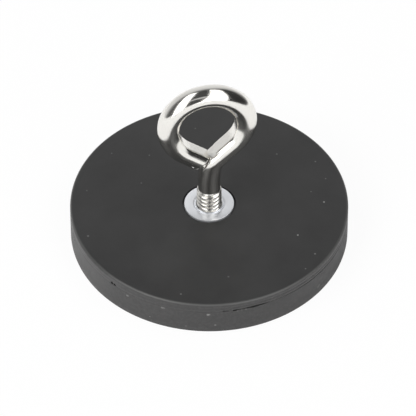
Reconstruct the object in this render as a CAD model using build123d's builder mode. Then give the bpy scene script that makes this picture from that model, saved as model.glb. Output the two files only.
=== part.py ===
from build123d import *
import math
import os

# Rubber-coated pot magnet, 43 mm, with an M4 bush and a bent-wire eyebolt.
# Origin: centre of the holding face. +Z runs up the bolt. The eye opens along Y.

# ---- Driving dimensions, in millimetres and degrees ----

# Rubber jacket
jacket_diameter = 43.0
floor_thickness = 0.8
cover_thickness = 1.7
side_thickness = 2.0
top_edge_chamfer = 0.3
bottom_edge_chamfer = 0.25
groove_width = 0.15
groove_depth = 0.2

# Back plate
plate_thickness = 1.5
plate_edge_chamfer = 0.2

# Magnets
magnet_count = 8
magnet_thickness = 2.0
magnet_edge_inset = 0.5
magnet_web = 0.715

# Threaded bush
spigot_wall = 0.8
spigot_clearance = 0.03
collar_overhang = 0.4
collar_height = 0.6
collar_edge_chamfer = 0.2
flange_overhang = 1.1
flange_proud = 0.1
flange_edge_chamfer = 0.15
countersink_width = 0.425
countersink_angle = 90.0

# Eyebolt thread, drawn plain at its outside diameter
thread_diameter = 3.9
thread_clearance = 0.05
thread_point_chamfer = 0.5
thread_end_inset = 0.15
thread_length_above = 2.9
thread_runout = 0.6

# Eyebolt wire
wire_diameter = 3.45
neck_length = 3.6
neck_bend_radius = 3.6
neck_bend_angle = 44.0
rising_leg_length = 4.55
eye_bend_radius = 6.05
leg_spread_angle = 92.0
eye_end_gap = 0.1
flat_depth = 0.2

# ---- Sizes that follow ----

wire_radius = wire_diameter / 2

magnet_bottom = floor_thickness
plate_bottom = magnet_bottom + magnet_thickness
plate_top = plate_bottom + plate_thickness
jacket_height = plate_top + cover_thickness

plate_diameter = jacket_diameter - 2 * side_thickness

# Touching an inset circle and each other across a web, the magnets can only be this wide.
magnet_ring_diameter = plate_diameter - 2 * magnet_edge_inset
magnet_half_pitch = math.sin(math.pi / magnet_count)
magnet_diameter = (magnet_ring_diameter * magnet_half_pitch - magnet_web) / (1 + magnet_half_pitch)
magnet_circle_diameter = magnet_ring_diameter - magnet_diameter

bore_diameter = thread_diameter + 2 * thread_clearance
spigot_diameter = bore_diameter + 2 * spigot_wall
collar_diameter = spigot_diameter + 2 * collar_overhang
flange_diameter = spigot_diameter + 2 * flange_overhang
countersink_diameter = bore_diameter + 2 * countersink_width
bush_bottom = plate_bottom - collar_height
bush_top = jacket_height + flange_proud

bolt_bottom = bush_bottom + thread_end_inset
thread_top = bush_top + thread_length_above
shank_bottom = thread_top + thread_runout
neck_bend_start = shank_bottom + neck_length

# The falling leg stops beside the rising one, where their centre lines would cross.
leg_tangent_length = eye_bend_radius / math.tan(math.radians(leg_spread_angle / 2))
leg_side_distance = (wire_radius + eye_end_gap) / math.sin(math.radians(leg_spread_angle))
falling_leg_length = leg_tangent_length - leg_side_distance

# The eye is bent round a teardrop mandrel that leaves a flat on the inside of the wire.
mandrel_radius = eye_bend_radius - wire_radius + flat_depth
mandrel_tip_distance = mandrel_radius / math.sin(math.radians(leg_spread_angle / 2))
mandrel_tip_angle = math.radians(leg_spread_angle / 2 - 90 - neck_bend_angle)


def outer_rims(part, group):
    """Widest circular edges of one level of a part: 0 is the lowest level, -1 the highest."""
    level = part.edges().filter_by(GeomType.CIRCLE).group_by(Axis.Z)[group]
    return level.group_by(SortBy.RADIUS)[-1]


# ---- Back plate ----

with BuildPart() as steel_plate:
    with BuildSketch(Plane.XY.offset(plate_bottom)):
        Circle(plate_diameter / 2)
        Circle(spigot_diameter / 2 + spigot_clearance, mode=Mode.SUBTRACT)
    extrude(amount=plate_thickness)
    chamfer(outer_rims(steel_plate, 0), plate_edge_chamfer)
    chamfer(outer_rims(steel_plate, -1), plate_edge_chamfer)

# ---- Magnets ----


def make_magnet(number):
    """One disc magnet in its place on the pitch circle, under the plate."""
    angle = math.radians((number - 1) * 360 / magnet_count)
    pitch_radius = magnet_circle_diameter / 2
    centre = (pitch_radius * math.cos(angle), pitch_radius * math.sin(angle), magnet_bottom)
    with BuildPart() as magnet:
        with BuildSketch(Plane(origin=centre)):
            Circle(magnet_diameter / 2)
        extrude(amount=magnet_thickness)
    magnet.part.label = f"magnet_{number}"
    return magnet.part


magnets = [make_magnet(number) for number in range(1, magnet_count + 1)]

# ---- Threaded bush ----

# Turned blank: flange in the cover, spigot through the plate, collar swaged under it
with BuildPart() as bush_blank:
    with BuildSketch(Plane.XY.offset(plate_top)):
        Circle(flange_diameter / 2)
    extrude(amount=bush_top - plate_top)
    chamfer(outer_rims(bush_blank, -1), flange_edge_chamfer)
    with BuildSketch(Plane.XY.offset(plate_bottom)):
        Circle(spigot_diameter / 2)
    extrude(amount=plate_thickness)
    with BuildSketch(Plane.XY.offset(bush_bottom)):
        Circle(collar_diameter / 2)
    extrude(amount=collar_height)
    chamfer(outer_rims(bush_blank, 0), collar_edge_chamfer)

with BuildPart() as threaded_bush:
    add(bush_blank.part)
    with Locations((0, 0, bush_top)):
        CounterSinkHole(
            radius=bore_diameter / 2,
            counter_sink_radius=countersink_diameter / 2,
            counter_sink_angle=countersink_angle,
        )

# ---- Rubber jacket ----

# The rubber is moulded round the finished insert set, so each insert leaves its own shape.
with BuildPart() as rubber_jacket:
    with BuildSketch(Plane.XY):
        Circle(jacket_diameter / 2)
    extrude(amount=jacket_height)
    chamfer(outer_rims(rubber_jacket, -1), top_edge_chamfer)
    chamfer(outer_rims(rubber_jacket, 0), bottom_edge_chamfer)
    add(steel_plate.part, mode=Mode.SUBTRACT)
    add(magnets, mode=Mode.SUBTRACT)
    add(bush_blank.part, mode=Mode.SUBTRACT)
    # The swaged spigot closes the hole in the plate, so no rubber gets in beside it
    with BuildSketch(Plane.XY.offset(plate_bottom)):
        Circle(spigot_diameter / 2 + spigot_clearance)
    extrude(amount=plate_thickness, mode=Mode.SUBTRACT)
    # Narrow groove left by the ring that seals the mould on the flange
    with BuildSketch(Plane.XY.offset(jacket_height)):
        Circle(flange_diameter / 2 + groove_width)
    extrude(amount=-groove_depth, mode=Mode.SUBTRACT)

# ---- Eyebolt ----

with BuildLine(Plane.XZ) as wire_path:
    shank = Line((0, shank_bottom), (0, neck_bend_start))
    neck = JernArc(shank @ 1, shank % 1, neck_bend_radius, -neck_bend_angle)
    rising_leg = PolarLine(neck @ 1, rising_leg_length, direction=neck % 1)
    eye_arc = JernArc(rising_leg @ 1, rising_leg % 1, eye_bend_radius, 180 + leg_spread_angle)
    falling_leg = PolarLine(eye_arc @ 1, falling_leg_length, direction=eye_arc % 1)

with BuildPart() as eyebolt:
    # Threaded end and its run-out to the wire
    with BuildSketch(Plane.XZ):
        with BuildLine():
            Polyline(
                (0, bolt_bottom),
                (thread_diameter / 2 - thread_point_chamfer, bolt_bottom),
                (thread_diameter / 2, bolt_bottom + thread_point_chamfer),
                (thread_diameter / 2, thread_top),
                (wire_radius, shank_bottom),
                (0, shank_bottom),
                close=True,
            )
        make_face()
    revolve(axis=Axis.Z)
    # Bent wire
    with BuildSketch(Plane(origin=wire_path.line @ 0, z_dir=wire_path.line % 0)):
        Circle(wire_radius)
    sweep(path=wire_path.line)
    # Flat on the inside of the eye
    with BuildSketch(Plane.XZ):
        with BuildLine():
            centre_x = eye_arc.center_point.X
            centre_z = eye_arc.center_point.Z
            tip = (
                centre_x + mandrel_tip_distance * math.cos(mandrel_tip_angle),
                centre_z + mandrel_tip_distance * math.sin(mandrel_tip_angle),
            )
            rim = CenterArc(
                (centre_x, centre_z), mandrel_radius, -neck_bend_angle, 180 + leg_spread_angle
            )
            Polyline(rim @ 1, tip, rim @ 0)
        make_face()
    extrude(amount=wire_radius, both=True, mode=Mode.SUBTRACT)

# ---- Labels and files ----

os.makedirs("parts", exist_ok=True)

steel_plate.part.label = "steel_plate"
export_step(steel_plate.part, "parts/steel_plate.step")

for disc in magnets:
    export_step(disc, f"parts/{disc.label}.step")

threaded_bush.part.label = "threaded_bush"
export_step(threaded_bush.part, "parts/threaded_bush.step")

rubber_jacket.part.label = "rubber_jacket"
export_step(rubber_jacket.part, "parts/rubber_jacket.step")

eyebolt.part.label = "eyebolt"
export_step(eyebolt.part, "parts/eyebolt.step")
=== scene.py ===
import logging
import math
from collections.abc import Callable, Iterator
from contextlib import contextmanager
from dataclasses import dataclass, field
from enum import Enum
from functools import partial

import bmesh
import bpy
from mathutils import Matrix, Vector
from mathutils.kdtree import KDTree


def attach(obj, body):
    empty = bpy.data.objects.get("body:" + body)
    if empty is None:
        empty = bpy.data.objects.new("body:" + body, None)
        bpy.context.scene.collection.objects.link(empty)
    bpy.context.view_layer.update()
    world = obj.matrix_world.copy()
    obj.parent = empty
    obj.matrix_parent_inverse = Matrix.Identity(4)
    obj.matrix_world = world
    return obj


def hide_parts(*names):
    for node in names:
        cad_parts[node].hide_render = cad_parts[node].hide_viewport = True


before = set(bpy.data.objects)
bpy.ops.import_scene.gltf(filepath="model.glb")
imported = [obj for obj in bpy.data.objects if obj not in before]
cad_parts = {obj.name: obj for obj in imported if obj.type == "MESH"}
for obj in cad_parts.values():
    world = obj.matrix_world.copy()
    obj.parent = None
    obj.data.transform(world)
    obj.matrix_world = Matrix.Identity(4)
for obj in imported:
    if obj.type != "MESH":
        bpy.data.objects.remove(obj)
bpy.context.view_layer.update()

LOG = logging.getLogger("pot_magnet")

# Pieces are shaped with one unit to the millimetre and brought to metres when they are done,
# so their sizes are in millimetres and degrees.
MM = 0.001

Place = tuple[float, float, float]

# The eye's plane is turned this far from square to the camera.
EYE_TURN = math.radians(11.06)

# Two places nearer than this, in millimetres, are on one level.
CLOSE = 1e-3

# A noise texture seldom leaves this range.
NOISE_LOW = 0.3
NOISE_HIGH = 0.7


# ---- Bench: small helpers for shaping a piece by hand ----


class Kind(Enum):
    """What is selected on a mesh in hand."""

    VERTS = "VERT"
    EDGES = "EDGE"


def let_go() -> None:
    """Deselect every object."""
    for thing in bpy.context.selected_objects:
        thing.select_set(False)


def take(piece: bpy.types.Object) -> None:
    """Select one piece and make it the active one.

    Args:
        piece: The object to take in hand.
    """
    let_go()
    piece.select_set(True)
    bpy.context.view_layer.objects.active = piece


def start(name: str, primitive: Callable[..., set], **sizes: object) -> bpy.types.Object:
    """Add a primitive at its size and place as the start of a piece.

    Args:
        name: Name of the new piece.
        primitive: The operator that adds it.
        **sizes: What the operator is given.

    Returns:
        The new object, alone in the selection.
    """
    let_go()
    primitive(**sizes)
    piece = bpy.context.object
    piece.name = name
    piece.data.name = name
    return piece


def fix_place() -> None:
    """Move the place, turn and scale of the selected piece into its mesh."""
    bpy.ops.object.transform_apply(location=True, rotation=True, scale=True)


@contextmanager
def shaping(piece: bpy.types.Object) -> Iterator[bpy.types.Object]:
    """Hold a piece in edit mode.

    Args:
        piece: The mesh object to work on.

    Yields:
        The same object.
    """
    take(piece)
    bpy.ops.object.mode_set(mode="EDIT")
    yield piece
    bpy.ops.object.mode_set(mode="OBJECT")


def pick(kind: Kind, test: Callable[[Vector], bool]) -> None:
    """Select the parts of the mesh in hand that pass a test.

    Args:
        kind: Vertices or edges.
        test: Told the middle of each one, says whether it is wanted.
    """
    data = bpy.context.object.data
    bpy.ops.mesh.select_mode(type=kind.value)
    bpy.ops.mesh.select_all(action="DESELECT")
    mesh = bmesh.from_edit_mesh(data)
    if kind is Kind.VERTS:
        items = [(v, v.co) for v in mesh.verts]
    else:
        items = [(e, (e.verts[0].co + e.verts[1].co) / 2) for e in mesh.edges]
    for item, place in items:
        if test(place):
            item.select_set(True)
    mesh.select_flush_mode()
    bmesh.update_edit_mesh(data)


def draw_out(x: float, y: float, z: float) -> None:
    """Extrude what is selected and move it by x, y, z."""
    bpy.ops.mesh.extrude_region_move(TRANSFORM_OT_translate={"value": (x, y, z)})


def open_to(old_radius: float, new_radius: float, z: float) -> None:
    """Scale the selected ring about the upright axis from one radius to another."""
    factor = new_radius / old_radius
    bpy.ops.transform.resize(value=(factor, factor, 1), center_override=(0, 0, z))


def bend(angle: float, centre: Vector, axis: Vector, steps: int) -> None:
    """Spin the selected ring round a centre, leaving a bent length of wall behind it."""
    bpy.ops.mesh.spin(steps=steps, dupli=False, angle=angle, center=centre, axis=axis)


def lathe(name: str, segments: int, stations: list[tuple[float, float]]) -> bpy.types.Object:
    """Turn a closed ring-shaped piece, wall by wall.

    Args:
        name: Name of the piece.
        segments: Sides of its circles.
        stations: Radius and height of each corner of its section, in order round it.

    Returns:
        The turned piece.
    """
    radius, height = stations[0]
    piece = start(
        name, bpy.ops.mesh.primitive_circle_add,
        vertices=segments, radius=radius, location=(0, 0, height),
    )
    fix_place()
    with shaping(piece):
        bpy.ops.mesh.select_all(action="SELECT")
        for new_radius, new_height in [*stations[1:], stations[0]]:
            draw_out(0, 0, new_height - height)
            open_to(radius, new_radius, new_height)
            radius, height = new_radius, new_height
        bpy.ops.mesh.select_all(action="SELECT")
        bpy.ops.mesh.remove_doubles(threshold=0.002)
        bpy.ops.mesh.normals_make_consistent(inside=False)
    return piece


def cut(piece: bpy.types.Object, tool: bpy.types.Object) -> None:
    """Take a tool's space out of a piece and put the tool away.

    Args:
        piece: The mesh that is changed.
        tool: The closed mesh that cuts it.
    """
    take(piece)
    step = piece.modifiers.new("cut", "BOOLEAN")
    step.operation = "DIFFERENCE"
    step.object = tool
    step.solver = "EXACT"
    bpy.ops.object.modifier_apply(modifier=step.name)
    bpy.data.objects.remove(tool, do_unlink=True)


def settle(piece: bpy.types.Object, node: str, material: bpy.types.Material,
           crease: float) -> None:
    """Bring a finished piece to metres, smooth it, dress it and seat it on the part.

    Args:
        piece: The finished mesh, one unit to the millimetre.
        node: The node of the construction that it stands for.
        material: Its material.
        crease: Edges sharper than this many degrees stay crisp.
    """
    take(piece)
    piece.scale = (MM, MM, MM)
    fix_place()
    bpy.ops.object.shade_smooth_by_angle(angle=math.radians(crease))
    piece.data.materials.clear()
    piece.data.materials.append(material)
    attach(piece, "root")
    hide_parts(node)
    LOG.info("%s: %d faces", piece.name, len(piece.data.polygons))


# ---- Finishes ----


def linear(hex_colour: str) -> tuple[float, float, float, float]:
    """Turn an sRGB colour into a linear one.

    Args:
        hex_colour: A hash and six hex digits.

    Returns:
        Linear red, green, blue and alpha.
    """
    parts = [int(hex_colour[i : i + 2], 16) / 255 for i in (1, 3, 5)]
    low = [c / 12.92 if c <= 0.04045 else ((c + 0.055) / 1.055) ** 2.4 for c in parts]
    return (low[0], low[1], low[2], 1.0)


NodeAdder = Callable[..., bpy.types.Node]


def add_node(tree: bpy.types.NodeTree, kind: str, settings: dict | None = None,
             links: dict | None = None) -> bpy.types.Node:
    """Add a node with its settings and links.

    Args:
        tree: The node tree.
        kind: The node's type, without ShaderNode in front.
        settings: Values by name. Names in small letters are the node's own settings,
            and capitalised names and numbers are its sockets.
        links: What feeds its inputs, by input name or number: an output socket, or a node
            for the first output that it has in use.

    Returns:
        The new node.
    """
    node = tree.nodes.new(f"ShaderNode{kind}")
    for name, value in (settings or {}).items():
        if isinstance(name, str) and name.islower():
            setattr(node, name, value)
        else:
            node.inputs[name].default_value = value
    for name, source in (links or {}).items():
        if isinstance(source, bpy.types.Node):
            source = next(output for output in source.outputs if output.enabled)
        tree.links.new(source, node.inputs[name])
    return node


def node_adder(owner: bpy.types.Material | bpy.types.World) -> NodeAdder:
    """Clear the nodes of a material or the world away.

    Args:
        owner: What the nodes belong to.

    Returns:
        add_node, bound to the owner's tree.
    """
    owner.use_nodes = True
    owner.node_tree.nodes.clear()
    return partial(add_node, owner.node_tree)


def blank_material(name: str) -> tuple[bpy.types.Material, NodeAdder, bpy.types.Node]:
    """Make an empty node material.

    Args:
        name: Name of the material.

    Returns:
        The material, what adds a node to it, and a node that gives object coordinates in
        millimetres.
    """
    material = bpy.data.materials.new(name)
    add = node_adder(material)
    place = add("TexCoord")
    scaled = add(
        "Mapping", {"Scale": (1 / MM, 1 / MM, 1 / MM)}, {"Vector": place.outputs["Object"]},
    )
    return material, add, scaled


def away_from_axis(add: NodeAdder, place: bpy.types.Node) -> bpy.types.Node:
    """Measure how far a place lies from the part's upright axis.

    Args:
        add: What adds a node to the material.
        place: The node that gives the place.

    Returns:
        The node that gives the distance.
    """
    flat = add("VectorMath", {"operation": "MULTIPLY", 1: (1.0, 1.0, 0.0)}, {0: place})
    return add("VectorMath", {"operation": "LENGTH"}, {0: flat})


def uneven(add: NodeAdder, middle: float, less: float, more: float,
           noise: bpy.types.Node) -> bpy.types.Node:
    """Spread a value about its middle after a noise.

    Args:
        add: What adds a node to the material.
        middle: The value's middle.
        less: How far it falls where the noise is low.
        more: How far it rises where the noise is high.
        noise: The node that gives the noise.

    Returns:
        The node that gives the value.
    """
    return add(
        "MapRange",
        {"From Min": NOISE_LOW, "From Max": NOISE_HIGH,
         "To Min": middle - less, "To Max": middle + more},
        {"Value": noise},
    )


@dataclass(frozen=True)
class MouldedRubber:
    """Black nitrile rubber, press moulded: a dull skin with a faint grain, a grey bloom
    and a few grains of dust, which turns shiny only where it is seen edge on. The side wall
    is painted paler than the top, and the top edge paler still: painted light for the light
    that falls on them.

    The grain is drawn coarser than the real one, which would be too fine to show."""

    dark: str = "#262626"
    light: str = "#303030"
    dust: str = "#9A9A98"
    # The side wall's colours are paler than the top's: painted light on the side.
    side_dark: str = "#343434"
    side_light: str = "#403F3F"
    # Colour of the top edge: a painted highlight.
    edge: str = "#5A5A59"
    edge_share: float = 0.8
    roughness: float = 0.38
    roughness_spread: float = 0.05
    grain_mm: float = 0.35
    grain_relief_mm: float = 0.02
    grain_strength: float = 0.15
    cloud_mm: float = 7.0
    mottle_mm: float = 0.5
    mottle_low: float = 0.38
    mottle_high: float = 0.66
    side_from: float = 21.15
    side_full: float = 21.42
    rubbed_from: float = 5.72
    rubbed_full: float = 5.86

    def make(self, specks: list[tuple[float, float, float, float, float]]) -> bpy.types.Material:
        """Build the material.

        Args:
            specks: Place x, y, z, radius in millimetres and strength of each grain of dust.

        Returns:
            The finished material.
        """
        material, add, mm = blank_material("moulded_nitrile_rubber")
        cloud = add(
            "TexNoise", {"Scale": 1 / self.cloud_mm, "Detail": 4.0, "Roughness": 0.6},
            {"Vector": mm},
        )
        grain = add("TexNoise", {"Scale": 1 / self.grain_mm, "Detail": 2.0}, {"Vector": mm})
        tone = add("MapRange", {"From Min": NOISE_LOW, "From Max": NOISE_HIGH}, {"Value": cloud})
        skin = add(
            "Mix", {"data_type": "RGBA", 6: linear(self.dark), 7: linear(self.light)}, {0: tone},
        )
        # The side wall, which was in the mould's split, is mottled and painted paler than the top:
        # painted light for the light that falls on the side.
        side = add(
            "MapRange", {"From Min": self.side_from, "From Max": self.side_full},
            {"Value": away_from_axis(add, mm)},
        )
        mottle = add(
            "TexNoise", {"Scale": 1 / self.mottle_mm, "Detail": 5.0, "Roughness": 0.65},
            {"Vector": mm},
        )
        patch = add(
            "MapRange", {"From Min": self.mottle_low, "From Max": self.mottle_high},
            {"Value": mottle},
        )
        wall = add(
            "Mix", {"data_type": "RGBA", 6: linear(self.side_dark), 7: linear(self.side_light)},
            {0: patch},
        )
        # Its trimmed top edge is painted paler: a painted highlight along the rim.
        up = add("SeparateXYZ", None, {0: mm})
        rubbed = add(
            "MapRange",
            {"From Min": self.rubbed_from, "From Max": self.rubbed_full, "To Max": self.edge_share},
            {"Value": up.outputs["Z"]},
        )
        edged = add("Mix", {"data_type": "RGBA", 7: linear(self.edge)}, {0: rubbed, 6: wall})
        colour = add("Mix", {"data_type": "RGBA"}, {0: side, 6: skin, 7: edged})
        for x, y, z, radius, strength in specks:
            away = add("VectorMath", {"operation": "DISTANCE", 1: (x, y, z)}, {0: mm})
            spot = add(
                "MapRange",
                {"From Min": radius * 0.5, "From Max": radius, "To Min": strength, "To Max": 0.0},
                {"Value": away},
            )
            colour = add("Mix", {"data_type": "RGBA", 7: linear(self.dust)}, {0: spot, 6: colour})
        dull = uneven(add, self.roughness, self.roughness_spread, self.roughness_spread, cloud)
        relief = add(
            "Bump", {"Strength": self.grain_strength, "Distance": self.grain_relief_mm * MM},
            {"Height": grain},
        )
        shader = add(
            "BsdfPrincipled", {"IOR": 1.5},
            {"Base Color": colour, "Roughness": dull, "Normal": relief},
        )
        add("OutputMaterial", None, {"Surface": shader})
        return material


@dataclass(frozen=True)
class NickelPlate:
    """Nickel on a sintered neodymium magnet: warm white, and a little cloudy."""

    name: str = "nickel_on_sintered_magnet"
    colour: str = "#D8D6CF"
    roughness: float = 0.18
    smoother: float = 0.02
    rougher: float = 0.03
    patch_mm: float = 1.25

    def make(self) -> bpy.types.Material:
        """Build the material.

        Returns:
            The finished material.
        """
        material, add, mm = blank_material(self.name)
        patch = add("TexNoise", {"Scale": 1 / self.patch_mm, "Detail": 3.0}, {"Vector": mm})
        dull = uneven(add, self.roughness, self.smoother, self.rougher, patch)
        shader = add(
            "BsdfPrincipled", {"Base Color": linear(self.colour), "Metallic": 1.0},
            {"Roughness": dull},
        )
        add("OutputMaterial", None, {"Surface": shader})
        return material


@dataclass(frozen=True)
class PlatedWire:
    """Bright nickel over drawn steel wire: a warm white mirror with a trace of the die's
    long draw lines, dull cross marks where the mandrel pressed it flat, a satin finish in
    the rolled thread, and a dark end where it was sheared off."""

    colour: str = "#F3F1EC"
    roughness: float = 0.1
    thread_roughness: float = 0.2
    flat_roughness: float = 0.2
    roughness_spread: float = 0.05
    line_mm: float = 0.12
    line_stretch: float = 0.12
    mark_mm: float = 0.45
    mark_stretch: float = 0.3
    relief_mm: float = 0.02
    relief_strength: float = 0.5
    press_fade_mm: float = 0.1
    press_edge_mm: float = 0.02
    flat_fade_mm: float = 0.5
    thread_fade_mm: float = 0.4
    cut_fade_mm: float = 0.06
    # Colour of the sheared end, partly painted shade for the gap at the leg.
    cut_colour: str = "#5C564C"
    cut_roughness: float = 0.4

    def make(self, flat_from: float, flat_to: float, thread_top: float, cut_at: float,
             cut_skew: float) -> bpy.types.Material:
        """Build the material.

        Args:
            flat_from: How far the middle of the flat lies from the middle of the wire.
            flat_to: Where along the wire the flat starts.
            thread_top: Height at which the thread ends.
            cut_at: Where along the wire its end was sheared off.
            cut_skew: Slope of the sheared end across the wire.

        Returns:
            The finished material.
        """
        material, add, mm = blank_material("bright_nickel_on_drawn_wire")
        # The attribute says where each point was on the wire before that was bent: inwards,
        # across and along.
        place = add("Attribute", {"attribute_name": "straight_wire"})
        straight = place.outputs["Vector"]
        parts = add("SeparateXYZ", None, {0: straight})
        fine, coarse = 1 / self.line_mm, 1 / self.mark_mm
        lengthwise = add(
            "Mapping", {"Scale": (fine, fine, self.line_stretch)}, {"Vector": straight},
        )
        lines = add("TexNoise", {"Scale": 1.0, "Detail": 3.0}, {"Vector": lengthwise})
        crosswise = add(
            "Mapping", {"Scale": (self.mark_stretch, self.mark_stretch, coarse)},
            {"Vector": straight},
        )
        marks = add("TexNoise", {"Scale": 1.0, "Detail": 3.0}, {"Vector": crosswise})
        faint, full = flat_from - self.press_fade_mm, flat_from - self.press_edge_mm
        deep = add(
            "MapRange", {"From Min": faint, "From Max": full}, {"Value": parts.outputs["X"]},
        )
        along = add(
            "MapRange", {"From Min": flat_to - self.flat_fade_mm, "From Max": flat_to},
            {"Value": parts.outputs["Z"]},
        )
        flat = add("Math", {"operation": "MULTIPLY"}, {0: deep, 1: along})
        height = add("Mix", {"data_type": "FLOAT"}, {0: flat, 2: lines, 3: marks})
        relief = add(
            "Bump", {"Strength": self.relief_strength, "Distance": self.relief_mm * MM},
            {"Height": height},
        )
        base = add(
            "Mix", {"data_type": "FLOAT", 2: self.roughness, 3: self.flat_roughness}, {0: flat},
        )
        up = add("SeparateXYZ", None, {0: mm})
        threaded = add(
            "MapRange", {"From Min": thread_top, "From Max": thread_top - self.thread_fade_mm},
            {"Value": up.outputs["Z"]},
        )
        rough = add("Mix", {"data_type": "FLOAT", 3: self.thread_roughness}, {0: threaded, 2: base})
        # The sheared end is coloured dark and matt: partly the unplated cut, and partly painted
        # shade for the gap where it meets the leg.
        square_on = add(
            "Math", {"operation": "MULTIPLY_ADD", 1: -cut_skew},
            {0: parts.outputs["X"], 2: parts.outputs["Z"]},
        )
        sheared = add(
            "MapRange", {"From Min": cut_at, "From Max": cut_at + self.cut_fade_mm},
            {"Value": square_on},
        )
        colour = add(
            "Mix", {"data_type": "RGBA", 6: linear(self.colour), 7: linear(self.cut_colour)},
            {0: sheared},
        )
        matt = add("Mix", {"data_type": "FLOAT", 3: self.cut_roughness}, {0: sheared, 2: rough})
        dull = add(
            "Math", {"operation": "MULTIPLY_ADD", 1: self.roughness_spread}, {0: lines, 2: matt},
        )
        shader = add(
            "BsdfPrincipled", {"Metallic": 1.0},
            {"Base Color": colour, "Roughness": dull, "Normal": relief},
        )
        add("OutputMaterial", None, {"Surface": shader})
        return material


@dataclass(frozen=True)
class ZincPlate:
    """Blue-passivated zinc on steel: pale, cool and half bright, with fine turned rings.

    The passivation is a thin clear film, so the surface isn't quite all metal."""

    name: str = "blue_zinc_on_turned_steel"
    colour: str = "#F7F9FD"
    roughness: float = 0.22
    ring_mm: float = 0.12
    ring_relief_mm: float = 0.01
    ring_strength: float = 0.3
    roughness_spread: float = 0.05
    metal_share: float = 0.7

    def make(self) -> bpy.types.Material:
        """Build the material.

        Returns:
            The finished material.
        """
        material, add, mm = blank_material(self.name)
        rings = add(
            "TexNoise", {"noise_dimensions": "1D", "Scale": 1 / self.ring_mm, "Detail": 2.0},
            {"W": away_from_axis(add, mm)},
        )
        relief = add(
            "Bump", {"Strength": self.ring_strength, "Distance": self.ring_relief_mm * MM},
            {"Height": rings},
        )
        dull = uneven(add, self.roughness, self.roughness_spread, self.roughness_spread, rings)
        shader = add(
            "BsdfPrincipled", {"Base Color": linear(self.colour), "Metallic": self.metal_share},
            {"Roughness": dull, "Normal": relief},
        )
        add("OutputMaterial", None, {"Surface": shader})
        return material


# ---- Studio ----


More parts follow.
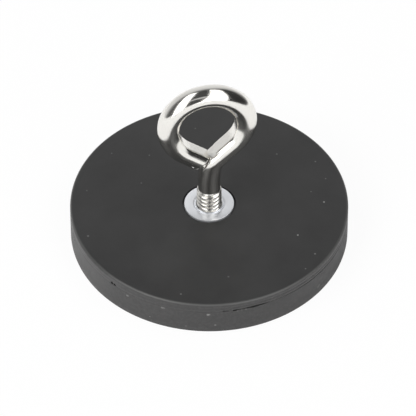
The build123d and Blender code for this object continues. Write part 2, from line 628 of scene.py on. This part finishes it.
@dataclass
class Studio:
    """A pale floor and wall in a dim room, two soft boxes, a card, a fill and the camera.

    Its lengths are in metres, and the wall's levels and ends go by direction, from -1 to 1."""

    floor_radius: float = 0.3
    floor_colour: str = "#FCFCFC"
    fade_from: float = 0.2
    fade_to: float = 0.95
    veil: float = 0.94
    box_distance: float = 2.5
    box_radiance: float = 1.8
    right_box: tuple[Place, ...] = (
        (0.255, 0.562, 1.538), (0.912, 0.569, 1.500), (0.855, -1.254, -0.151),
    )
    left_box: tuple[Place, ...] = (
        (-0.440, 0.352, 1.578), (-0.884, 0.457, 1.409), (-0.647, -1.050, -0.153),
    )
    card_radiance: float = 0.5
    front_card: tuple[Place, ...] = (
        (-0.25, -0.78, 0.78), (0.25, -0.78, 0.78), (0.25, -0.86, 0.58),
    )
    fill_radiance: float = 5.8
    left_fill: tuple[Place, ...] = (
        (-0.97, -0.26, 0.40), (-0.40, -0.69, 0.40), (-0.40, -0.69, 0.85),
    )
    lens: float = 390.8
    elevation: float = math.radians(45.85)
    camera_distance: float = 0.700
    look_height: float = 0.003
    shift_right: float = 0.000181
    shift_down: float = 0.00136
    wall_slope: Place = (0.0, 1.0, -0.62)
    wall_bow: float = 0.15
    wall_lean: float = 0.175
    room_level: float = 0.06
    room_slope: float = -0.035
    floor_bulge: float = 0.45
    floor_edge: float = -0.03
    wall_levels: tuple[tuple[float, float], ...] = (
        (-0.36, 0.0), (-0.28, 0.03), (-0.19, 0.08), (-0.11, 0.14), (-0.03, 0.26), (0.05, 0.39),
        (0.13, 0.50), (0.22, 0.57), (0.35, 0.63), (0.58, 0.69), (0.88, 0.73),
    )
    wall_ends: tuple[tuple[float, float], ...] = (
        (-1.0, 0.96), (-0.85, 0.92), (-0.65, 0.85), (-0.4, 0.91), (-0.1, 1.0), (0.35, 1.0),
        (0.5, 0.95), (0.65, 0.86), (0.76, 0.66), (0.81, 0.48), (0.88, 0.30), (0.95, 0.14),
        (1.0, 0.02),
    )

    def turned(self, x: float, y: float, z: float) -> Vector:
        """Turn a direction from the camera's own compass to the part's."""
        return Matrix.Rotation(-EYE_TURN, 3, "Z") @ Vector((x, y, z))

    def place_camera(self) -> None:
        """Put the camera where the part is seen from above its front."""
        ahead = self.turned(0, math.cos(self.elevation), -math.sin(self.elevation))
        right = self.turned(1, 0, 0)
        down = ahead.cross(right)
        eye = Vector((0, 0, self.look_height)) - right * self.shift_right
        eye -= down * self.shift_down + ahead * self.camera_distance
        data = bpy.data.cameras.new("camera")
        data.lens = self.lens
        data.sensor_width = 36.0
        data.clip_start = 0.01
        data.clip_end = 50.0
        camera = bpy.data.objects.new("camera", data)
        bpy.context.scene.collection.objects.link(camera)
        turn = Matrix((right, -down, -ahead)).transposed().to_4x4()
        camera.matrix_world = Matrix.Translation(eye) @ turn
        bpy.context.scene.camera = camera

    def hang_box(self, name: str, radiance: float,
                 corners: tuple[Place, ...]) -> bpy.types.Object:
        """Hang one soft box.

        Args:
            name: Name of the lamp.
            radiance: How bright its face is, where 1 is white.
            corners: Three of its corners in order, in shares of the box distance.

        Returns:
            The lamp.
        """
        a, b, c = [self.turned(*corner) * self.box_distance for corner in corners]
        across, along = b - a, c - b
        middle = (a + c) / 2
        face = across.cross(along).normalized()
        if face.dot(middle) < 0:
            across = -across
            face = -face
        side = across.normalized()
        length = face.cross(side)
        data = bpy.data.lights.new(name, "AREA")
        data.shape = "RECTANGLE"
        data.size = across.length
        data.size_y = abs(along.dot(length))
        data.energy = radiance * math.pi * data.size * data.size_y
        lamp = bpy.data.objects.new(name, data)
        bpy.context.scene.collection.objects.link(lamp)
        turn = Matrix((side, length, face)).transposed().to_4x4()
        lamp.matrix_world = Matrix.Translation(middle) @ turn
        lamp.visible_camera = False
        return lamp

    def lay_floor(self) -> None:
        """Lay a pale round floor that fades out into the background."""
        floor = start(
            "floor", bpy.ops.mesh.primitive_circle_add,
            vertices=96, radius=self.floor_radius, fill_type="NGON",
        )
        material = bpy.data.materials.new("pale_floor")
        add = node_adder(material)
        place = add("TexCoord")
        away = add("VectorMath", {"operation": "LENGTH"}, {0: place.outputs["Object"]})
        start_fade, end_fade = self.floor_radius * self.fade_from, self.floor_radius * self.fade_to
        fade = add("MapRange", {"From Min": start_fade, "From Max": end_fade}, {"Value": away})
        matt = add("BsdfDiffuse", {"Color": linear(self.floor_colour)})
        # To the camera the paper is mostly veiled in white, so that only a soft shadow stays.
        ray = add("LightPath")
        veil = add(
            "Math", {"operation": "MULTIPLY", 1: self.veil}, {0: ray.outputs["Is Camera Ray"]},
        )
        white = add("Emission", {"Color": (1, 1, 1, 1), "Strength": 1.0})
        paper = add("MixShader", None, {0: veil, 1: matt, 2: white})
        clear = add("BsdfTransparent")
        blend = add("MixShader", None, {0: fade, 1: paper, 2: clear})
        side = add("NewGeometry")
        one_way = add("MixShader", None, {0: side.outputs["Backfacing"], 1: blend, 2: clear})
        add("OutputMaterial", None, {"Surface": one_way})
        floor.data.materials.append(material)

    def paint_world(self) -> None:
        """White to the camera; to the part a pale floor and a pale wall in a dim room."""
        world = bpy.data.worlds.new("room")
        bpy.context.scene.world = world
        add = node_adder(world)
        place = add("TexCoord")
        compass = add(
            "Mapping", {"Rotation": (0.0, 0.0, EYE_TURN)}, {"Vector": place.outputs["Generated"]},
        )
        parts = add("SeparateXYZ", None, {0: compass})
        # The wall stands behind: it darkens towards its top edge, which is lowest in the middle.
        slope = add("VectorMath", {"operation": "DOT_PRODUCT", 1: self.wall_slope}, {0: compass})
        wide = add("Math", {"operation": "ABSOLUTE"}, {0: parts.outputs["X"]})
        edge = add("Math", {"operation": "MULTIPLY_ADD", 1: self.wall_bow}, {0: wide, 2: slope})
        low, span = -0.5, 1.4
        climb = add("Math", {"operation": "MULTIPLY_ADD", 1: 1 / span, 2: -low / span}, {0: edge})
        wall = add("ValToRGB", None, {0: climb})
        # It fades a little to the left and ends on the right, sooner the higher it is.
        flat = add("VectorMath", {"operation": "MULTIPLY", 1: (1.0, 1.0, 0.0)}, {0: compass})
        heading = add("VectorMath", {"operation": "NORMALIZE"}, {0: flat})
        aside = add("VectorMath", {"operation": "DOT_PRODUCT", 1: (0.5, 0.0, 0.0)}, {0: heading})
        lean = add(
            "Math", {"operation": "MULTIPLY_ADD", 1: self.wall_lean},
            {0: parts.outputs["Z"], 2: aside},
        )
        along = add("Math", {"operation": "ADD", 1: 0.5}, {0: lean})
        end = add("ValToRGB", None, {0: along})
        for ramp, stations in (
            (wall, [((spot - low) / span, level) for spot, level in self.wall_levels]),
            (end, [((spot + 1) / 2, level) for spot, level in self.wall_ends]),
        ):
            stops = ramp.color_ramp.elements
            for number, (position, level) in enumerate(stations):
                stop = stops[number] if number < 2 else stops.new(1.0)
                stop.position = position
                stop.color = (level, level, level, 1.0)
        lit = add("Math", {"operation": "MULTIPLY"}, {0: wall, 1: end})
        dim = add(
            "Math", {"operation": "MULTIPLY_ADD", 1: self.room_slope, 2: self.room_level},
            {0: parts.outputs["X"]},
        )
        room = add("Math", {"operation": "ADD"}, {0: lit, 1: dim})
        # The floor reaches the wall behind and the boxes in front, and stops short on both sides.
        square = add("Math", {"operation": "MULTIPLY"}, {0: aside, 1: aside})
        reach = add(
            "Math", {"operation": "MULTIPLY_ADD", 1: self.floor_bulge},
            {0: square, 2: parts.outputs["Z"]},
        )
        under = add("MapRange", {"From Min": 0.0, "From Max": self.floor_edge}, {"Value": reach})
        whole = add("Mix", {"data_type": "RGBA", 7: (1, 1, 1, 1)}, {0: under, 6: room})
        light = add("Background", {"Strength": 1.0}, {"Color": whole})
        white = add("Background", {"Color": (1, 1, 1, 1), "Strength": 1.0})
        ray = add("LightPath")
        shown = add("MixShader", None, {0: ray.outputs["Is Camera Ray"], 1: light, 2: white})
        add("OutputWorld", None, {"Surface": shown})

    def build(self) -> None:
        """Set up the whole studio."""
        self.place_camera()
        boxes = (
            ("right_soft_box", self.box_radiance, self.right_box),
            ("left_soft_box", self.box_radiance, self.left_box),
            ("front_card", self.card_radiance, self.front_card),
            ("left_fill", self.fill_radiance, self.left_fill),
        )
        lamps = [self.hang_box(*box) for box in boxes]
        # The fill hangs low on the left: it lights the sides and isn't mirrored in them.
        lamps[-1].visible_glossy = False
        self.lay_floor()
        self.paint_world()
        bpy.context.scene.view_settings.view_transform = "Standard"


# ---- Rubber jacket ----


@dataclass
class RubberJacket:
    """The moulded coat: a low disc with a parting line, and a cavity for each insert."""

    radius: float = 21.5
    height: float = 6.0
    bottom_round: float = 0.25
    top_round: float = 0.3
    soft_round: float = 0.6
    soft_middle: float = -162.0
    soft_spread: float = 17.0
    parting_height: float = 4.47
    parting_depth: float = 0.08
    parting_faint: float = 0.25
    parting_middle: float = -60.0
    parting_spread: float = 38.0
    parting_shape: tuple[tuple[float, float], ...] = (
        (0.0, -0.2), (0.15, -0.1), (0.8, -0.04), (1.0, 0.0), (0.8, 0.05), (0.3, 0.14), (0.1, 0.3),
        (0.0, 0.5), (0.8, 0.7), (0.0, 0.85),
    )
    segments: int = 480
    plate_low: float = 2.8
    plate_high: float = 4.3
    plate_radius: float = 19.5
    plate_chamfer: float = 0.2
    magnet_low: float = 0.8
    magnet_radius: float = 5.0
    magnet_circle: float = 14.0
    magnet_count: int = 8
    collar_low: float = 2.2
    collar_radius: float = 3.2
    flange_radius: float = 3.86
    groove_width: float = 0.27
    groove_depth: float = 0.4
    finish: MouldedRubber = field(default_factory=MouldedRubber)

    def parting(self, angle: float) -> float:
        """How deep the parting line is at an angle round the rim, in degrees."""
        strong = math.exp(-(((angle - self.parting_middle) / self.parting_spread) ** 4))
        return self.parting_depth * (self.parting_faint + (1 - self.parting_faint) * strong)

    def softness(self, angle: float) -> float:
        """Radius of the top edge at an angle: trimmed crisp, but left soft on one side."""
        soft = math.exp(-(((angle - self.soft_middle) / self.soft_spread) ** 4))
        return self.top_round + (self.soft_round - self.top_round) * soft

    def outline(self, angle: float) -> list[tuple[float, float]]:
        """Work out the section of the side wall at one angle.

        Args:
            angle: Where it is round the rim, in degrees.

        Returns:
            Radius and height of each level, from the bottom up.
        """
        deep = self.parting(angle)
        soft = self.softness(angle)
        low = self.bottom_round
        levels = []
        for turn in (0, 30, 60, 90):
            a = math.radians(turn)
            levels.append((self.radius - low * (1 - math.sin(a)), low * (1 - math.cos(a))))
        levels += [(self.radius, self.height / 4), (self.radius, self.height / 2)]
        # Each level of the parting line is cut to a share of its depth.
        for share, rise in self.parting_shape:
            levels.append((self.radius - share * deep, self.parting_height + rise))
        for turn in (0, 15, 30, 45, 60, 75, 90):
            a = math.radians(turn)
            inset, drop = soft * (1 - math.cos(a)), soft * (1 - math.sin(a))
            levels.append((self.radius - inset, self.height - drop))
        return levels

    def shape_outside(self) -> bpy.types.Object:
        """Draw the closed outer form up from its bottom circle, level by level.

        Returns:
            The solid form, without its pockets.
        """
        count = len(self.outline(0.0))
        step = 0.25
        jacket = start(
            "jacket", bpy.ops.mesh.primitive_circle_add,
            vertices=self.segments, radius=self.radius - self.bottom_round, fill_type="NGON",
        )
        with shaping(jacket):
            bpy.ops.mesh.select_all(action="SELECT")
            bpy.ops.mesh.flip_normals()
            for _ in range(count - 1):
                draw_out(0, 0, step)
            bpy.ops.mesh.select_all(action="SELECT")
            bpy.ops.mesh.normals_make_consistent(inside=False)
            mesh = bmesh.from_edit_mesh(jacket.data)
            for v in mesh.verts:
                level = round(v.co.z / step)
                turn = math.atan2(v.co.y, v.co.x)
                radius, height = self.outline(math.degrees(turn))[level]
                v.co = (radius * math.cos(turn), radius * math.sin(turn), height)
            bmesh.update_edit_mesh(jacket.data)
        return jacket

    def disc(self, name: str, radius: float, low: float, high: float, x: float = 0.0,
             y: float = 0.0, sides: int = 192) -> bpy.types.Object:
        """Make a plain round tool for cutting a pocket.

        Args:
            name: Name of the tool.
            radius: Its radius.
            low: Height of its bottom.
            high: Height of its top.
            x: Where its axis stands.
            y: Where its axis stands.
            sides: Sides of its circles.

        Returns:
            The tool.
        """
        tool = start(
            name, bpy.ops.mesh.primitive_cylinder_add,
            vertices=sides, radius=radius, depth=high - low, location=(x, y, (low + high) / 2),
        )
        fix_place()
        return tool

    def chamfered_disc(self, name: str, radius: float, low: float, high: float,
                       chamfer: float) -> bpy.types.Object:
        """Make a round tool with both its rims chamfered.

        Args:
            name: Name of the tool.
            radius: Its radius.
            low: Height of its bottom.
            high: Height of its top.
            chamfer: Width of both chamfers.

        Returns:
            The tool.
        """
        tool = self.disc(name, radius, low, high)
        with shaping(tool):
            pick(Kind.EDGES, lambda p: min(p.z - low, high - p.z) < CLOSE)
            bpy.ops.mesh.bevel(offset=chamfer, segments=1, affect="EDGES")
        return tool

    def cut_pockets(self, jacket: bpy.types.Object) -> None:
        """Take the inserts' space out of the rubber.

        Args:
            jacket: The solid form.
        """
        over = self.height + 1
        lap = 0.4
        groove_radius = self.flange_radius + self.groove_width
        cut(jacket, self.disc("groove_tool", groove_radius, self.height - self.groove_depth, over))
        cut(jacket, self.disc("flange_tool", self.flange_radius, self.plate_high - lap, over))
        cut(jacket, self.chamfered_disc(
            "plate_tool", self.plate_radius, self.plate_low, self.plate_high, self.plate_chamfer,
        ))
        cut(jacket, self.disc(
            "collar_tool", self.collar_radius, self.collar_low, self.plate_low + lap,
        ))
        for number in range(self.magnet_count):
            turn = math.radians(number * 360 / self.magnet_count)
            cut(jacket, self.disc(
                "magnet_tool", self.magnet_radius, self.magnet_low, self.plate_low + lap,
                self.magnet_circle * math.cos(turn), self.magnet_circle * math.sin(turn), 96,
            ))

    def splinter(self, angle: float, height: float, half_length: float, half_width: float,
                 depth: float, lean: float) -> bpy.types.Object:
        """A long thin tool that opens a tear in the side wall.

        Args:
            angle: Where its middle is round the rim, in degrees.
            height: Height of its middle.
            half_length: Half its length along the wall.
            half_width: Half its widest opening.
            depth: How far it reaches into the wall.
            lean: Slope of the tear along the wall, in degrees.

        Returns:
            The tool.
        """
        tool = start(
            "splinter", bpy.ops.mesh.primitive_uv_sphere_add,
            segments=24, ring_count=12, radius=1.0,
        )
        turn = math.radians(angle)
        lift = Matrix.Rotation(math.radians(lean), 4, "X")
        tool.matrix_world = (
            Matrix.Rotation(turn, 4, "Z") @ Matrix.Translation((self.radius, 0, height))
            @ lift @ Matrix.Diagonal((depth, half_length, half_width, 1))
        )
        fix_place()
        return tool

    def tear(self, jacket: bpy.types.Object) -> None:
        """Open the tears and pits that the mould left along the parting line.

        Args:
            jacket: The jacket, with its pockets cut.
        """
        line = self.parting_height
        for angle, height, length, width, depth, lean in [
            (-94.3, line, 0.62, 0.06, 0.4, 0.0),
            (-90.2, line - 0.01, 0.50, 0.16, 0.8, 3.0),
            (-87.4, line + 0.03, 0.85, 0.09, 0.6, 2.0),
            (-85.0, line + 0.05, 0.90, 0.12, 0.8, 2.0),
            (-82.0, line + 0.07, 1.20, 0.18, 1.0, 1.0),
            (-79.6, line + 0.08, 1.00, 0.14, 0.8, -1.0),
            (-77.6, line + 0.06, 0.70, 0.08, 0.5, -3.0),
            (-144.6, line + 0.14, 0.26, 0.26, 0.80, 0.0),
            (-143.1, line + 0.12, 0.22, 0.22, 0.80, 0.0),
            (-176.3, 3.46, 0.12, 0.12, 0.30, 0.0),
        ]:
            cut(jacket, self.splinter(angle, height, length, width, depth, lean))

    def specks(self) -> list[tuple[float, float, float, float, float]]:
        """Lay out the dust on the top face and the scuffs on the side.

        Returns:
            Place x, y, z, radius and strength of each.
        """
        top = self.height
        marks = [
            (17.47, -3.13, top, 0.16, 1.0), (12.05, -9.28, top, 0.16, 1.0),
            (12.43, 8.51, top, 0.16, 0.35), (18.0, 5.74, top, 0.16, 0.35),
            (18.78, 1.78, top, 0.14, 0.35), (15.97, -0.55, top, 0.14, 0.3),
            (13.81, -13.68, top, 0.18, 0.45), (11.74, -16.47, top, 0.15, 0.4),
            (-0.12, -15.85, top, 0.2, 0.25), (-7.89, -18.01, top, 0.18, 0.4),
            (-19.59, -3.31, top, 0.2, 0.35), (-12.85, 13.61, top, 0.15, 0.25),
            (-7.16, 12.07, top, 0.15, 0.3), (-9.5, 6.33, top, 0.15, 0.3),
            (-18.08, 6.33, top, 0.15, 0.25), (1.01, 16.52, top, 0.15, 0.25),
        ]
        for angle, height, radius, strength in [
            (-136.6, 3.85, 0.22, 0.4), (-136.0, 3.9, 0.18, 0.3), (-120.5, 4.13, 0.25, 0.35),
            (-119.7, 4.16, 0.2, 0.3), (-101.6, 3.86, 0.25, 0.5), (-101.0, 3.9, 0.2, 0.35),
            (-98.6, 1.54, 0.22, 0.35), (-125.9, 1.32, 0.15, 0.35), (-110.5, 1.04, 0.15, 0.3),
            (-89.5, 4.28, 0.2, 0.2), (-87.8, 4.3, 0.2, 0.15), (-86.0, 4.32, 0.2, 0.2),
            (-50.2, 1.58, 0.3, 0.2), (-49.4, 1.75, 0.22, 0.25),
        ]:
            turn = math.radians(angle)
            place = (self.radius * math.cos(turn), self.radius * math.sin(turn), height)
            marks.append((*place, radius, strength))
        return marks

    def build(self) -> None:
        """Mould the jacket and dress it."""
        jacket = self.shape_outside()
        self.cut_pockets(jacket)
        self.tear(jacket)
        settle(jacket, "rubber_jacket", self.finish.make(self.specks()), 30.0)


# ---- Threaded bush ----


@dataclass
class ThreadedBush:
    """The turned bush: flange, spigot through the plate, collar, and a countersunk bore."""

    bottom: float = 2.2
    plate_low: float = 2.8
    plate_high: float = 4.3
    top: float = 6.1
    flange_radius: float = 3.86
    flange_chamfer: float = 0.15
    flange_ease: float = 0.04
    spigot_radius: float = 2.8
    collar_radius: float = 3.2
    collar_chamfer: float = 0.2
    bore_radius: float = 2.0
    countersink: tuple[tuple[float, float], ...] = (
        (2.505, 0.0), (2.465, 0.03), (2.265, 0.17), (2.205, 0.16), (2.16, 0.04), (2.11, 0.02),
        (2.02, 0.03), (1.99, 0.07), (2.0, 0.425),
    )
    segments: int = 192
    finish: ZincPlate = field(default_factory=ZincPlate)

    def build(self) -> None:
        """Turn the bush and dress it."""
        bush = lathe("bush", self.segments, [
            (self.bore_radius, self.bottom),
            (self.collar_radius - self.collar_chamfer, self.bottom),
            (self.collar_radius, self.bottom + self.collar_chamfer),
            (self.collar_radius, self.plate_low),
            (self.spigot_radius, self.plate_low),
            (self.spigot_radius, self.plate_high),
            (self.flange_radius, self.plate_high),
            (self.flange_radius, self.top - self.flange_chamfer),
            (self.flange_radius - self.flange_ease, self.top - self.flange_ease),
            (self.flange_radius - self.flange_chamfer, self.top),
            # The tap has pushed up a rim inside the countersink.
            *[(radius, self.top - depth) for radius, depth in self.countersink],
        ])
        settle(bush, "threaded_bush", self.finish.make(), 20.0)


# ---- Eyebolt ----


def outward(heading: float) -> Vector:
    """Away from the middle of the eye, where the wire has turned towards it by a heading."""
    return Vector((math.cos(heading), 0, math.sin(heading)))


def onward(heading: float) -> Vector:
    """On along the wire, where it has turned towards the eye's middle by a heading."""
    return Vector((-math.sin(heading), 0, math.cos(heading)))


@dataclass
class Eyebolt:
    """One length of wire: thread, shank, neck, and an eye bent back beside its own leg."""

    wire_radius: float = 1.723
    sides: int = 96
    thread_low: float = 2.35
    point_chamfer: float = 0.5
    point_radius: float = 1.35
    thread_radius: float = 1.93
    root_radius: float = 1.55
    pitch: float = 0.79
    thread_turn: float = 0.22
    fade_start: float = 9.1
    shank_start: float = 9.75
    steps_per_turn: int = 24
    neck_start: float = 11.668
    neck_bends: tuple[tuple[float, float], ...] = ((14.0, 12.0), (2.3, 31.0), (6.0, 0.946))
    leg_length: float = 4.317
    flat_start: float = 1.438
    flat_ease: float = 0.15
    flat_distance: float = 1.525
    lip: float = 0.06
    lip_turn: float = 36.0
    lip_width: float = 10.0
    seat_start: float = 0.5
    seat_distance: float = 1.27
    eye_bends: tuple[tuple[float, float], ...] = ((6.144, 101.36), (5.915, 111.61), (6.838, 62.0))
    tail_length: float = 2.88
    tail_skew: float = 0.29
    tail_round: float = 0.16
    burr: float = 0.05
    burr_turn: float = -128.0
    burr_width: float = 32.0
    degrees_per_step: float = 3.0
    mark_step: float = 0.1
    skin_clearance: float = 0.05
    finish: PlatedWire = field(default_factory=PlatedWire)

    def shape_eye(self) -> bpy.types.Object:
        """Shape the eye with its first leg upright from the origin, bending towards -X.

        Returns:
            The wire of the eye and its two legs, open at its foot.
        """
        wire = start(
            "wire_eyebolt", bpy.ops.mesh.primitive_circle_add,
            vertices=self.sides, radius=self.wire_radius,
        )
        with shaping(wire):
            bpy.ops.mesh.select_all(action="SELECT")
            # Under the tail's cut end the leg is squashed flatter than it is in the eye.
            draw_out(0, 0, self.seat_start)
            self.press_flat(self.seat_distance, 0.0)
            draw_out(0, 0, self.flat_start - self.seat_start - self.flat_ease)
            draw_out(0, 0, self.flat_ease)
            self.press_flat(self.flat_distance, self.lip)
            rest = self.leg_length - self.flat_start
            for _ in range(4):
                draw_out(0, 0, rest / 4)
            place = Vector((0, 0, self.leg_length))
            heading = 0.0
            for radius, angle in self.eye_bends:
                centre = place - outward(heading) * radius
                steps = round(angle / self.degrees_per_step)
                bend(math.radians(angle), centre, Vector((0, 1, 0)), steps)
                heading += math.radians(angle)
                place = centre + outward(heading) * radius
            self.cut_tail(place, heading)
        return wire

    def cut_tail(self, place: Vector, heading: float) -> None:
        """Draw the last leg out to its skewed, burred cut end and close it.

        Args:
            place: Middle of the selected ring, where the leg starts.
            heading: How far the wire has turned, in radians.
        """
        ahead, inward = onward(heading), -outward(heading)
        mesh = bmesh.from_edit_mesh(bpy.context.object.data)
        # Share of the length, and share of the cut end's skew there.
        tail_steps = [(0.4, 0.0), (0.75, 0.35), (0.9, 0.8), (0.97, 1.0), (1.0, 1.0)]
        done = 0.0
        for share, lean in tail_steps:
            draw_out(*(ahead * (share * self.tail_length - done)))
            done = share * self.tail_length
            end = place + ahead * done
            for v in mesh.verts:
                if not v.select:
                    continue
                off = v.co - end
                off -= ahead * off.dot(ahead)
                deep = off.dot(inward)
                turn = math.degrees(math.atan2(off.y, deep))
                near = math.exp(-(((turn - self.burr_turn) / self.burr_width) ** 4))
                flare = self.burr * near if share > 0.95 else 0.0
                v.co = end + off * (1 + flare / off.length) + ahead * (self.tail_skew * deep * lean)
        for turn in (30, 60, 90):
            a, b = math.radians(turn - 30), math.radians(turn)
            rise = self.tail_round * (math.sin(b) - math.sin(a))
            close = self.tail_round * (math.cos(a) - math.cos(b))
            bpy.ops.mesh.extrude_region_move(TRANSFORM_OT_translate={"value": ahead * rise})
            for v in mesh.verts:
                if v.select:
                    off = v.co - end
                    off -= ahead * off.dot(ahead)
                    v.co -= off * (close / off.length)
        bmesh.update_edit_mesh(bpy.context.object.data)
        bpy.ops.mesh.edge_face_add()

    def press_flat(self, distance: float, lip: float) -> None:
        """Press the selected ring flat on its inner side.

        Args:
            distance: Of the flat from the middle of the wire.
            lip: How far the metal is squeezed out along both sides of the flat.
        """
        mesh = bmesh.from_edit_mesh(bpy.context.object.data)
        for v in mesh.verts:
            if not v.select:
                continue
            turn = math.atan2(v.co.y, -v.co.x)
            away = (abs(turn) - math.radians(self.lip_turn)) / math.radians(self.lip_width)
            swell = lip * math.exp(-(away**2))
            radius = self.wire_radius + swell
            v.co.x = max(-radius * math.cos(turn), -distance)
            v.co.y = radius * math.sin(turn)
        bmesh.update_edit_mesh(bpy.context.object.data)

    def neck_line(self) -> list[tuple[Vector, float]]:
        """Follow the middle of the wire through the neck.

        Returns:
            Its place and its lean at each end of each neck bend.
        """
        place = Vector((0, 0, self.neck_start))
        lean = 0.0
        line = [(place, lean)]
        for radius, angle in self.neck_bends:
            centre = place + outward(-lean) * radius
            lean += math.radians(angle)
            place = centre - outward(-lean) * radius
            line.append((place, lean))
        return line

    def add_neck(self, wire: bpy.types.Object) -> None:
        """Lean the eye over and draw its first leg down through the neck to the shank.

        Args:
            wire: The wire of the eye.
        """
        line = self.neck_line()
        foot, lean = line[-1]
        take(wire)
        wire.matrix_world = Matrix.Translation(foot) @ Matrix.Rotation(lean, 4, "Y")
        fix_place()
        ahead = onward(-lean)
        with shaping(wire):
            reach = self.wire_radius + 0.2
            pick(Kind.VERTS, lambda p: (
                abs((p - foot).dot(ahead)) < CLOSE and (p - foot).length < reach
            ))
            bends = zip(reversed(self.neck_bends), reversed(line[1:]))
            for (radius, angle), (place, lean) in bends:
                centre = place + outward(-lean) * radius
                steps = max(2, round(angle / self.degrees_per_step))
                bend(math.radians(angle), centre, Vector((0, 1, 0)), steps)
            for _ in range(4):
                draw_out(0, 0, (self.shank_start - self.neck_start) / 4)

    def middle_line(self) -> list[tuple[Vector, float, float]]:
        """Follow the middle of the whole wire in short steps.

        Returns:
            Its place, its lean and the distance along it at each step.
        """
        place, lean, along = Vector((0, 0, self.thread_low)), 0.0, 0.0
        line = [(place, lean, along)]
        runs = [(0.0, self.neck_start - self.thread_low)]
        runs += [(radius, angle) for radius, angle in self.neck_bends]
        runs += [(0.0, self.leg_length)]
        runs += [(radius, -angle) for radius, angle in self.eye_bends]
        runs += [(0.0, self.tail_length)]
        for radius, amount in runs:
            length = radius * abs(math.radians(amount)) if radius else amount
            count = max(1, round(length / self.mark_step))
            turn = math.radians(amount) / count if radius else 0.0
            for _ in range(count):
                middle = lean + turn / 2
                place = place + onward(-middle) * (length / count)
                lean += turn
                along += length / count
                line.append((place, lean, along))
        return line

    def middle_start(self) -> float:
        """Distance along the wire at which its first leg starts."""
        bent = sum(radius * math.radians(angle) for radius, angle in self.neck_bends)
        return self.neck_start - self.thread_low + bent

    def mark_wire(self, wire: bpy.types.Object) -> None:
        """Note for each vertex where it was on the wire before that was bent.

        Args:
            wire: The whole bolt.
        """
        line = self.middle_line()
        tree = KDTree(len(line))
        for number, (place, lean, along) in enumerate(line):
            tree.insert(place, number)
        tree.balance()
        straight = wire.data.attributes.new("straight_wire", "FLOAT_VECTOR", "POINT")
        for v in wire.data.vertices:
            # The leg faces the tail's end, so only middles that lie under the skin count.
            found = tree.find(v.co, filter=lambda n: (
                (v.co - line[n][0]).dot(v.normal) > self.skin_clearance
            ))[1]
            place, lean, along = line[found]
            off = v.co - place
            inner, ahead = -off.dot(outward(-lean)), off.dot(onward(-lean))
            straight.data[v.index].vector = (inner, off.y, along + ahead)

    def tooth(self, share: float) -> float:
        """Radius of the thread at a share of its pitch, from crest to crest."""
        # A wave that is cut off at both ends gives the flat crest and the flat root.
        rise = min(max(0.5 + 0.6 * math.cos(math.tau * share), 0.0), 1.0)
        return self.root_radius + (self.thread_radius - self.root_radius) * rise

    def roll_thread(self) -> bpy.types.Object:
        """Roll the thread: one level section, wound up the axis a step at a time.

        Returns:
            The threaded end, open where the shank begins.
        """
        low = self.thread_low + self.point_chamfer
        steps = round((self.shank_start - low) / self.pitch * self.steps_per_turn)
        rise = self.shank_start - low
        turn = math.tau * steps / self.steps_per_turn
        thread = start(
            "thread", bpy.ops.mesh.primitive_circle_add,
            vertices=self.sides, radius=self.wire_radius, location=(0, 0, low),
        )
        fix_place()
        for v in thread.data.vertices:
            angle = math.atan2(v.co.y, v.co.x)
            radius = self.tooth(self.thread_turn - angle / math.tau)
            v.co.x = radius * math.cos(angle)
            v.co.y = radius * math.sin(angle)
        wind = thread.modifiers.new("wind", "SCREW")
        wind.axis = "Z"
        wind.angle = turn
        wind.screw_offset = rise
        wind.iterations = 1
        wind.steps = steps
        wind.render_steps = steps
        wind.use_smooth_shade = False
        bpy.ops.object.modifier_apply(modifier=wind.name)
        for v in thread.data.vertices:
            share = (v.co.z - self.fade_start) / (self.shank_start - self.fade_start)
            share = min(max(share, 0.0), 1.0)
            share = share * share * (3 - 2 * share)
            radius = math.hypot(v.co.x, v.co.y)
            factor = (radius + (self.wire_radius - radius) * share) / radius
            v.co.x *= factor
            v.co.y *= factor
        with shaping(thread):
            pick(Kind.VERTS, lambda p: abs(p.z - low) < CLOSE)
            draw_out(0, 0, -self.point_chamfer)
            open_to(self.thread_radius, self.point_radius, self.thread_low)
            bpy.ops.mesh.edge_face_add()
        return thread

    def build(self) -> None:
        """Bend the wire, roll its thread, join them and dress the bolt."""
        wire = self.shape_eye()
        self.add_neck(wire)
        thread = self.roll_thread()
        take(wire)
        thread.select_set(True)
        bpy.ops.object.join()
        with shaping(wire):
            bpy.ops.mesh.select_all(action="SELECT")
            bpy.ops.mesh.remove_doubles(threshold=0.004)
            bpy.ops.mesh.normals_make_consistent(inside=False)
        self.mark_wire(wire)
        flat_start = self.middle_start() + self.flat_start
        bent = sum(radius * math.radians(angle) for radius, angle in self.eye_bends)
        cut_at = self.middle_start() + self.leg_length + bent + self.tail_length
        material = self.finish.make(
            self.flat_distance, flat_start, self.shank_start, cut_at, self.tail_skew,
        )
        settle(wire, "eyebolt", material, 40.0)


# ---- Inserts that stay inside the rubber ----


@dataclass(frozen=True)
class Inserts:
    """The back plate and the magnets, which nothing shows once the rubber is moulded."""

    plate_finish: ZincPlate = ZincPlate("zinc_on_pressed_steel", "#C9CCCF", 0.35, 0.3)
    magnet_finish: NickelPlate = NickelPlate()

    def build(self) -> None:
        """Dress the carried-over nodes."""
        plate = self.plate_finish.make()
        magnet = self.magnet_finish.make()
        for name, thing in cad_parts.items():
            if name == "steel_plate" or name.startswith("magnet_"):
                thing.data.materials.clear()
                thing.data.materials.append(plate if name == "steel_plate" else magnet)
                LOG.info("%s dressed", name)


def main() -> None:
    """Build the studio and every piece in order."""
    logging.basicConfig(level=logging.INFO, format="%(message)s")
    Studio().build()
    RubberJacket().build()
    ThreadedBush().build()
    Eyebolt().build()
    Inserts().build()


if __name__ == "__main__":
    main()
